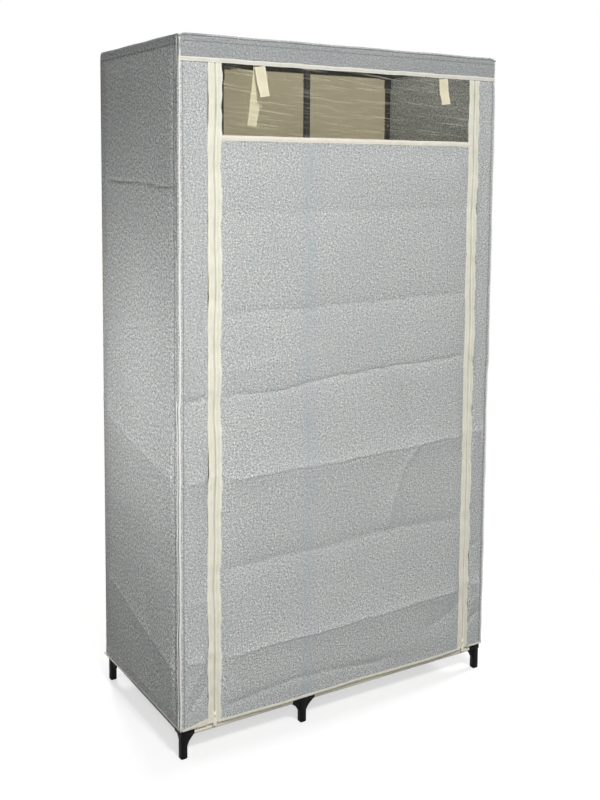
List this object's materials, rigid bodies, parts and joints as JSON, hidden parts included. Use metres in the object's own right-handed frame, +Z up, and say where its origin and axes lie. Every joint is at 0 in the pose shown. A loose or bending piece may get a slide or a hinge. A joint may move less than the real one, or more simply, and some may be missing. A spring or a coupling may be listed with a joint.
{
  "type": "portable fabric wardrobe",
  "caption": "Knock-down wardrobe: black tube frame under a grey cloth cover, with a zipped roll-up door that has a clear window, cloth shelves at the left and a hanging rail at the right.",
  "frame": {"origin": "middle of the overall box, on the floor", "axes": "+X to the right, +Y to the back, +Z up; the door faces -Y"},
  "size_m": [0.881, 0.4618, 1.6],
  "materials": {
    "black_tube": "gloss black powder coat",
    "moulded_black": "moulded, fine matt",
    "grey_cloth": "heathered non-woven cloth",
    "cream_cloth": "woven binding tape",
    "back_cloth": "plain non-woven cloth",
    "clear_film": "clear soft film, slightly wavy",
    "coated_zinc": "cream enamel"
  },
  "bodies": {
    "frame_and_cover": {"foot_front_left": "moulded_black", "post_front_left": "black_tube", "foot_front_mid": "moulded_black", "post_front_mid": "black_tube", "foot_front_right": "moulded_black", "post_front_right": "black_tube", "foot_rear_left": "moulded_black", "post_rear_left": "black_tube", "foot_rear_mid": "moulded_black", "post_rear_mid": "black_tube", "foot_rear_right": "moulded_black", "post_rear_right": "black_tube", "bottom_tube_front_left": "black_tube", "bottom_tube_front_right": "black_tube", "bottom_tube_rear_left": "black_tube", "bottom_tube_rear_right": "black_tube", "bottom_tube_side_left": "black_tube", "bottom_tube_side_mid": "black_tube", "bottom_tube_side_right": "black_tube", "top_tube_front_left": "black_tube", "top_tube_front_right": "black_tube", "top_tube_rear_left": "black_tube", "top_tube_rear_right": "black_tube", "top_tube_side_left": "black_tube", "top_tube_side_mid": "black_tube", "top_tube_side_right": "black_tube", "hanging_rail": "black_tube", "shelf_tube_lower_front": "black_tube", "shelf_tube_lower_rear": "black_tube", "shelf_lower": "cream_cloth", "shelf_tube_upper_front": "black_tube", "shelf_tube_upper_rear": "black_tube", "shelf_upper": "cream_cloth", "floor_panel": "cream_cloth", "cover_roof": "grey_cloth", "cover_left": "grey_cloth", "cover_right": "grey_cloth", "cover_back": "back_cloth", "header_tape": "cream_cloth", "zip_tape_left": "cream_cloth", "zip_tape_right": "cream_cloth"},
    "slider_left": {"zip_slider_left": "coated_zinc"},
    "pull_left": {"zip_pull_left": "coated_zinc"},
    "slider_right": {"zip_slider_right": "coated_zinc"},
    "pull_right": {"zip_pull_right": "coated_zinc"},
    "window_band": {"window_pane": "clear_film", "window_binding": "cream_cloth"},
    "band_2": {"door_band_2": "grey_cloth"},
    "band_3": {"door_band_3": "grey_cloth"},
    "band_4": {"door_band_4": "grey_cloth"},
    "band_5": {"door_band_5": "grey_cloth"},
    "band_6": {"door_band_6": "grey_cloth"},
    "band_7": {"door_band_7": "grey_cloth"},
    "band_8": {"door_band_8": "grey_cloth"},
    "band_9": {"door_band_9": "grey_cloth"},
    "band_10": {"door_band_10": "grey_cloth"},
    "tie_front_left": {"strap_front_left": "cream_cloth"},
    "tie_front_right": {"strap_front_right": "cream_cloth"},
    "tie_rear_left": {"strap_rear_left": "cream_cloth"},
    "tie_rear_right": {"strap_rear_right": "cream_cloth"}
  },
  "joints": [
    {"name": "zip_left", "type": "slide", "parent": "frame_and_cover", "child": "slider_left", "axis": [0, 0, 1], "range_m": [0, 1.445]},
    {"name": "zip_pull_left", "type": "hinge", "parent": "slider_left", "child": "pull_left", "pos_m": [-0.354, -0.22865, 0.09], "axis": [-1, 0, 0], "range_deg": [0, 120]},
    {"name": "zip_right", "type": "slide", "parent": "frame_and_cover", "child": "slider_right", "axis": [0, 0, 1], "range_m": [0, 1.445]},
    {"name": "zip_pull_right", "type": "hinge", "parent": "slider_right", "child": "pull_right", "pos_m": [0.37, -0.22865, 0.09], "axis": [-1, 0, 0], "range_deg": [0, 120]},
    {"name": "door_swing", "type": "hinge", "parent": "frame_and_cover", "child": "window_band", "pos_m": [0.008, -0.22525, 1.54285], "axis": [-1, 0, 0], "range_deg": [0, 40]},
    {"name": "door_roll", "type": "hinge", "parent": "window_band", "child": "band_2", "pos_m": [0.008, -0.22525, 1.3779], "axis": [-1, 0, 0], "range_deg": [0, 90]},
    {"name": "door_roll_3", "type": "hinge", "parent": "band_2", "child": "band_3", "pos_m": [0.008, -0.22525, 1.17937], "axis": [-1, 0, 0], "range_deg": [0, 100]},
    {"name": "door_roll_4", "type": "hinge", "parent": "band_3", "child": "band_4", "pos_m": [0.008, -0.22525, 0.99672], "axis": [-1, 0, 0], "range_deg": [0, 100]},
    {"name": "door_roll_5", "type": "hinge", "parent": "band_4", "child": "band_5", "pos_m": [0.008, -0.22525, 0.82869], "axis": [-1, 0, 0], "range_deg": [0, 100]},
    {"name": "door_roll_6", "type": "hinge", "parent": "band_5", "child": "band_6", "pos_m": [0.008, -0.22525, 0.67409], "axis": [-1, 0, 0], "range_deg": [0, 100]},
    {"name": "door_roll_7", "type": "hinge", "parent": "band_6", "child": "band_7", "pos_m": [0.008, -0.22525, 0.53187], "axis": [-1, 0, 0], "range_deg": [0, 100]},
    {"name": "door_roll_8", "type": "hinge", "parent": "band_7", "child": "band_8", "pos_m": [0.008, -0.22525, 0.40102], "axis": [-1, 0, 0], "range_deg": [0, 100]},
    {"name": "door_roll_9", "type": "hinge", "parent": "band_8", "child": "band_9", "pos_m": [0.008, -0.22525, 0.28064], "axis": [-1, 0, 0], "range_deg": [0, 100]},
    {"name": "door_roll_10", "type": "hinge", "parent": "band_9", "child": "band_10", "pos_m": [0.008, -0.22525, 0.16989], "axis": [-1, 0, 0], "range_deg": [0, 100]},
    {"name": "tie_front_left", "type": "hinge", "parent": "window_band", "child": "tie_front_left", "pos_m": [-0.2441, -0.22615, 1.54285], "axis": [1, 0, 0], "range_deg": [-110, 0]},
    {"name": "tie_front_right", "type": "hinge", "parent": "window_band", "child": "tie_front_right", "pos_m": [0.269, -0.22615, 1.54285], "axis": [1, 0, 0], "range_deg": [-110, 0]},
    {"name": "tie_rear_left", "type": "hinge", "parent": "frame_and_cover", "child": "tie_rear_left", "pos_m": [-0.2441, -0.22285, 1.54285], "axis": [-1, 0, 0], "range_deg": [-85, 0]},
    {"name": "tie_rear_right", "type": "hinge", "parent": "frame_and_cover", "child": "tie_rear_right", "pos_m": [0.269, -0.22285, 1.54285], "axis": [-1, 0, 0], "range_deg": [-85, 0]}
  ],
  "couplings": [
    {"joint": "door_roll_3", "follows": "door_roll", "ratio": 1},
    {"joint": "door_roll_4", "follows": "door_roll", "ratio": 1},
    {"joint": "door_roll_5", "follows": "door_roll", "ratio": 1},
    {"joint": "door_roll_6", "follows": "door_roll", "ratio": 1},
    {"joint": "door_roll_7", "follows": "door_roll", "ratio": 1},
    {"joint": "door_roll_8", "follows": "door_roll", "ratio": 1},
    {"joint": "door_roll_9", "follows": "door_roll", "ratio": 1},
    {"joint": "door_roll_10", "follows": "door_roll", "ratio": 1}
  ]
}
